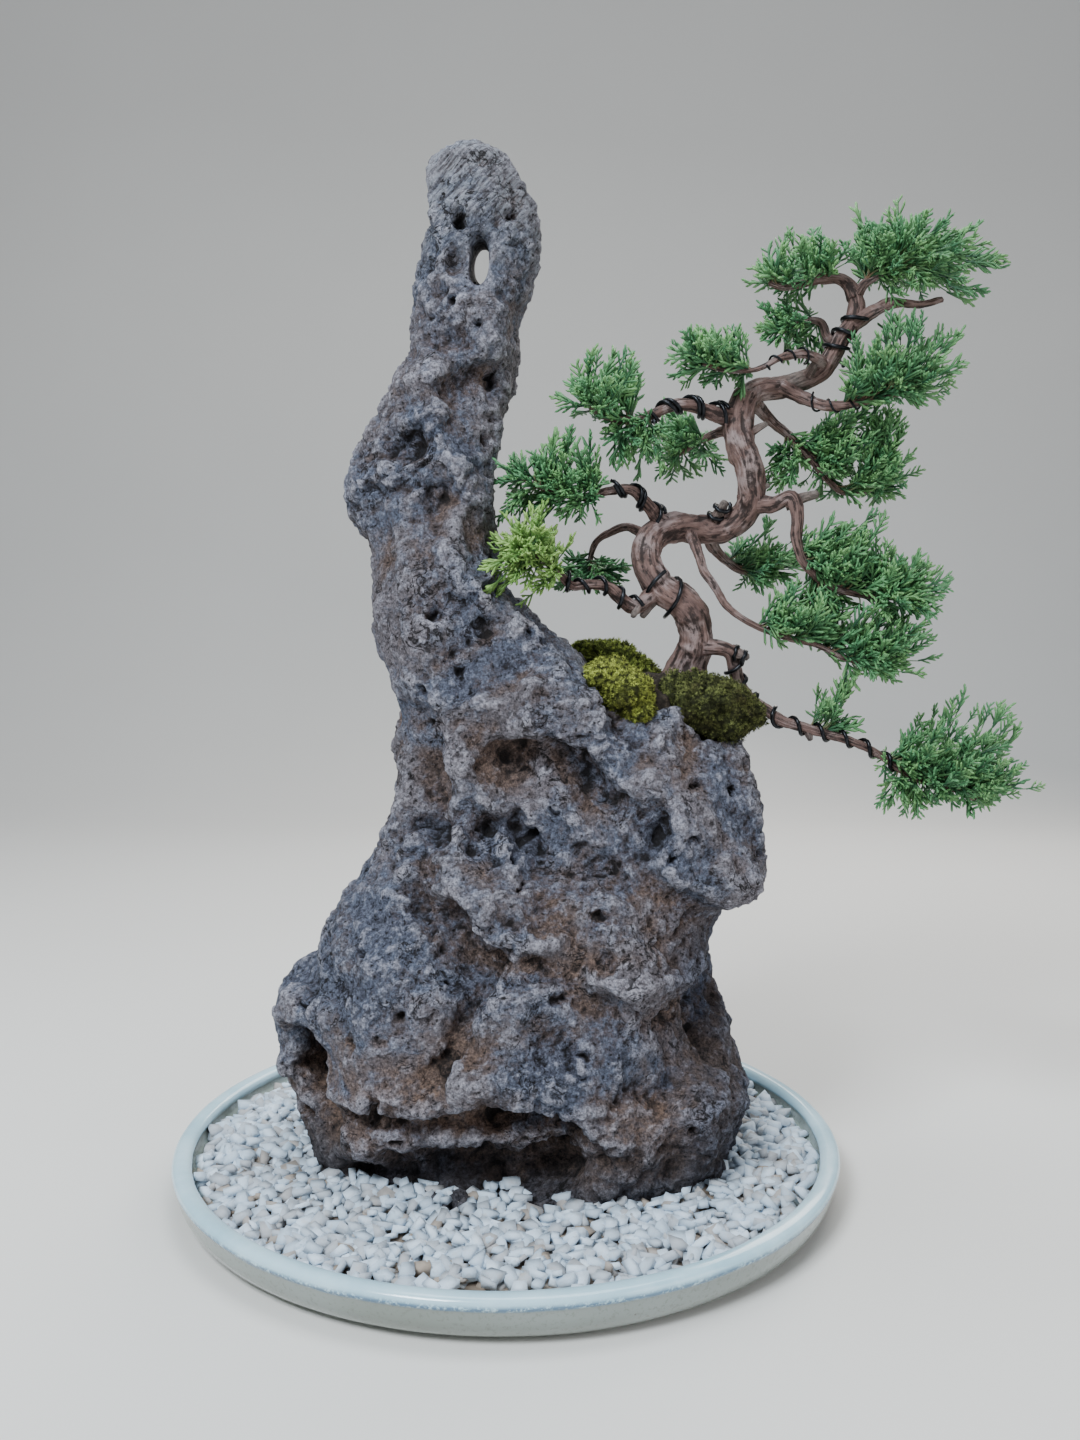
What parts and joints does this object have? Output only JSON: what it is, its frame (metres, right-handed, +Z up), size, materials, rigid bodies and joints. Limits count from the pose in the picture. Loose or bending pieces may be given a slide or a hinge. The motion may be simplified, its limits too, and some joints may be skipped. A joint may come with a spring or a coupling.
{
  "type": "rock-planted juniper bonsai in a tray",
  "caption": "Wired juniper bonsai growing from the shoulder of a tall weathered rock that stands in crushed stone in a shallow round glazed tray.",
  "frame": {"origin": "centre of the tray's flat base, on the surface that the tray stands on", "axes": "+Z up, the rock's tall spire along it; the best side faces -Y; the tree leans out towards +X"},
  "size_m": [0.4161, 0.33, 0.5081],
  "materials": {
    "glaze": "pale celadon gloss glaze with a blue broken edge",
    "stone_chips": "crushed white stone",
    "rock": "rough porous grey-brown rock",
    "soil": "dark planting soil",
    "moss": "velvety moss",
    "bark": "smooth red-brown bark with grey flakes",
    "foliage": "scale leaves on fine cords",
    "wire": "black anodised"
  },
  "bodies": {
    "root": {"branch_back_left": "bark", "branch_back_right": "bark", "branch_crown_left": "bark", "branch_crown_low": "bark", "branch_crown_right": "bark", "branch_drop": "bark", "branch_high_left": "bark", "branch_inner": "bark", "branch_low_left": "bark", "branch_low_right": "bark", "branch_mid_left": "bark", "branch_right_hang": "bark", "branch_right_mid": "bark", "branch_right_upper": "bark", "branch_upper_left": "bark", "foliage_back_left": "foliage", "foliage_back_right": "foliage", "foliage_back_small": "foliage", "foliage_crown_left": "foliage", "foliage_crown_low": "foliage", "foliage_crown_right": "foliage", "foliage_drop": "foliage", "foliage_drop_sprig": "foliage", "foliage_high_left": "foliage", "foliage_inner": "foliage", "foliage_low_left": "foliage", "foliage_low_right": "foliage", "foliage_low_right_end": "foliage", "foliage_mid_left": "foliage", "foliage_right_hang": "foliage", "foliage_right_mid": "foliage", "foliage_right_mid_low": "foliage", "foliage_right_upper": "foliage", "foliage_upper_left": "foliage", "foliage_upper_left_low": "foliage", "gravel_bed": "stone_chips", "moss_back": "moss", "moss_left": "moss", "moss_right": "moss", "rock": "rock", "soil": "soil", "tray": "glaze", "trunk": "bark", "wire_drop": "wire", "wire_high_left": "wire", "wire_low_left": "wire", "wire_mid_left": "wire", "wire_mid_left_second": "wire", "wire_right_upper": "wire", "wire_trunk_high": "wire", "wire_trunk_low": "wire", "wire_upper_left": "wire", "wire_upper_left_second": "wire"}
  },
  "joints": []
}
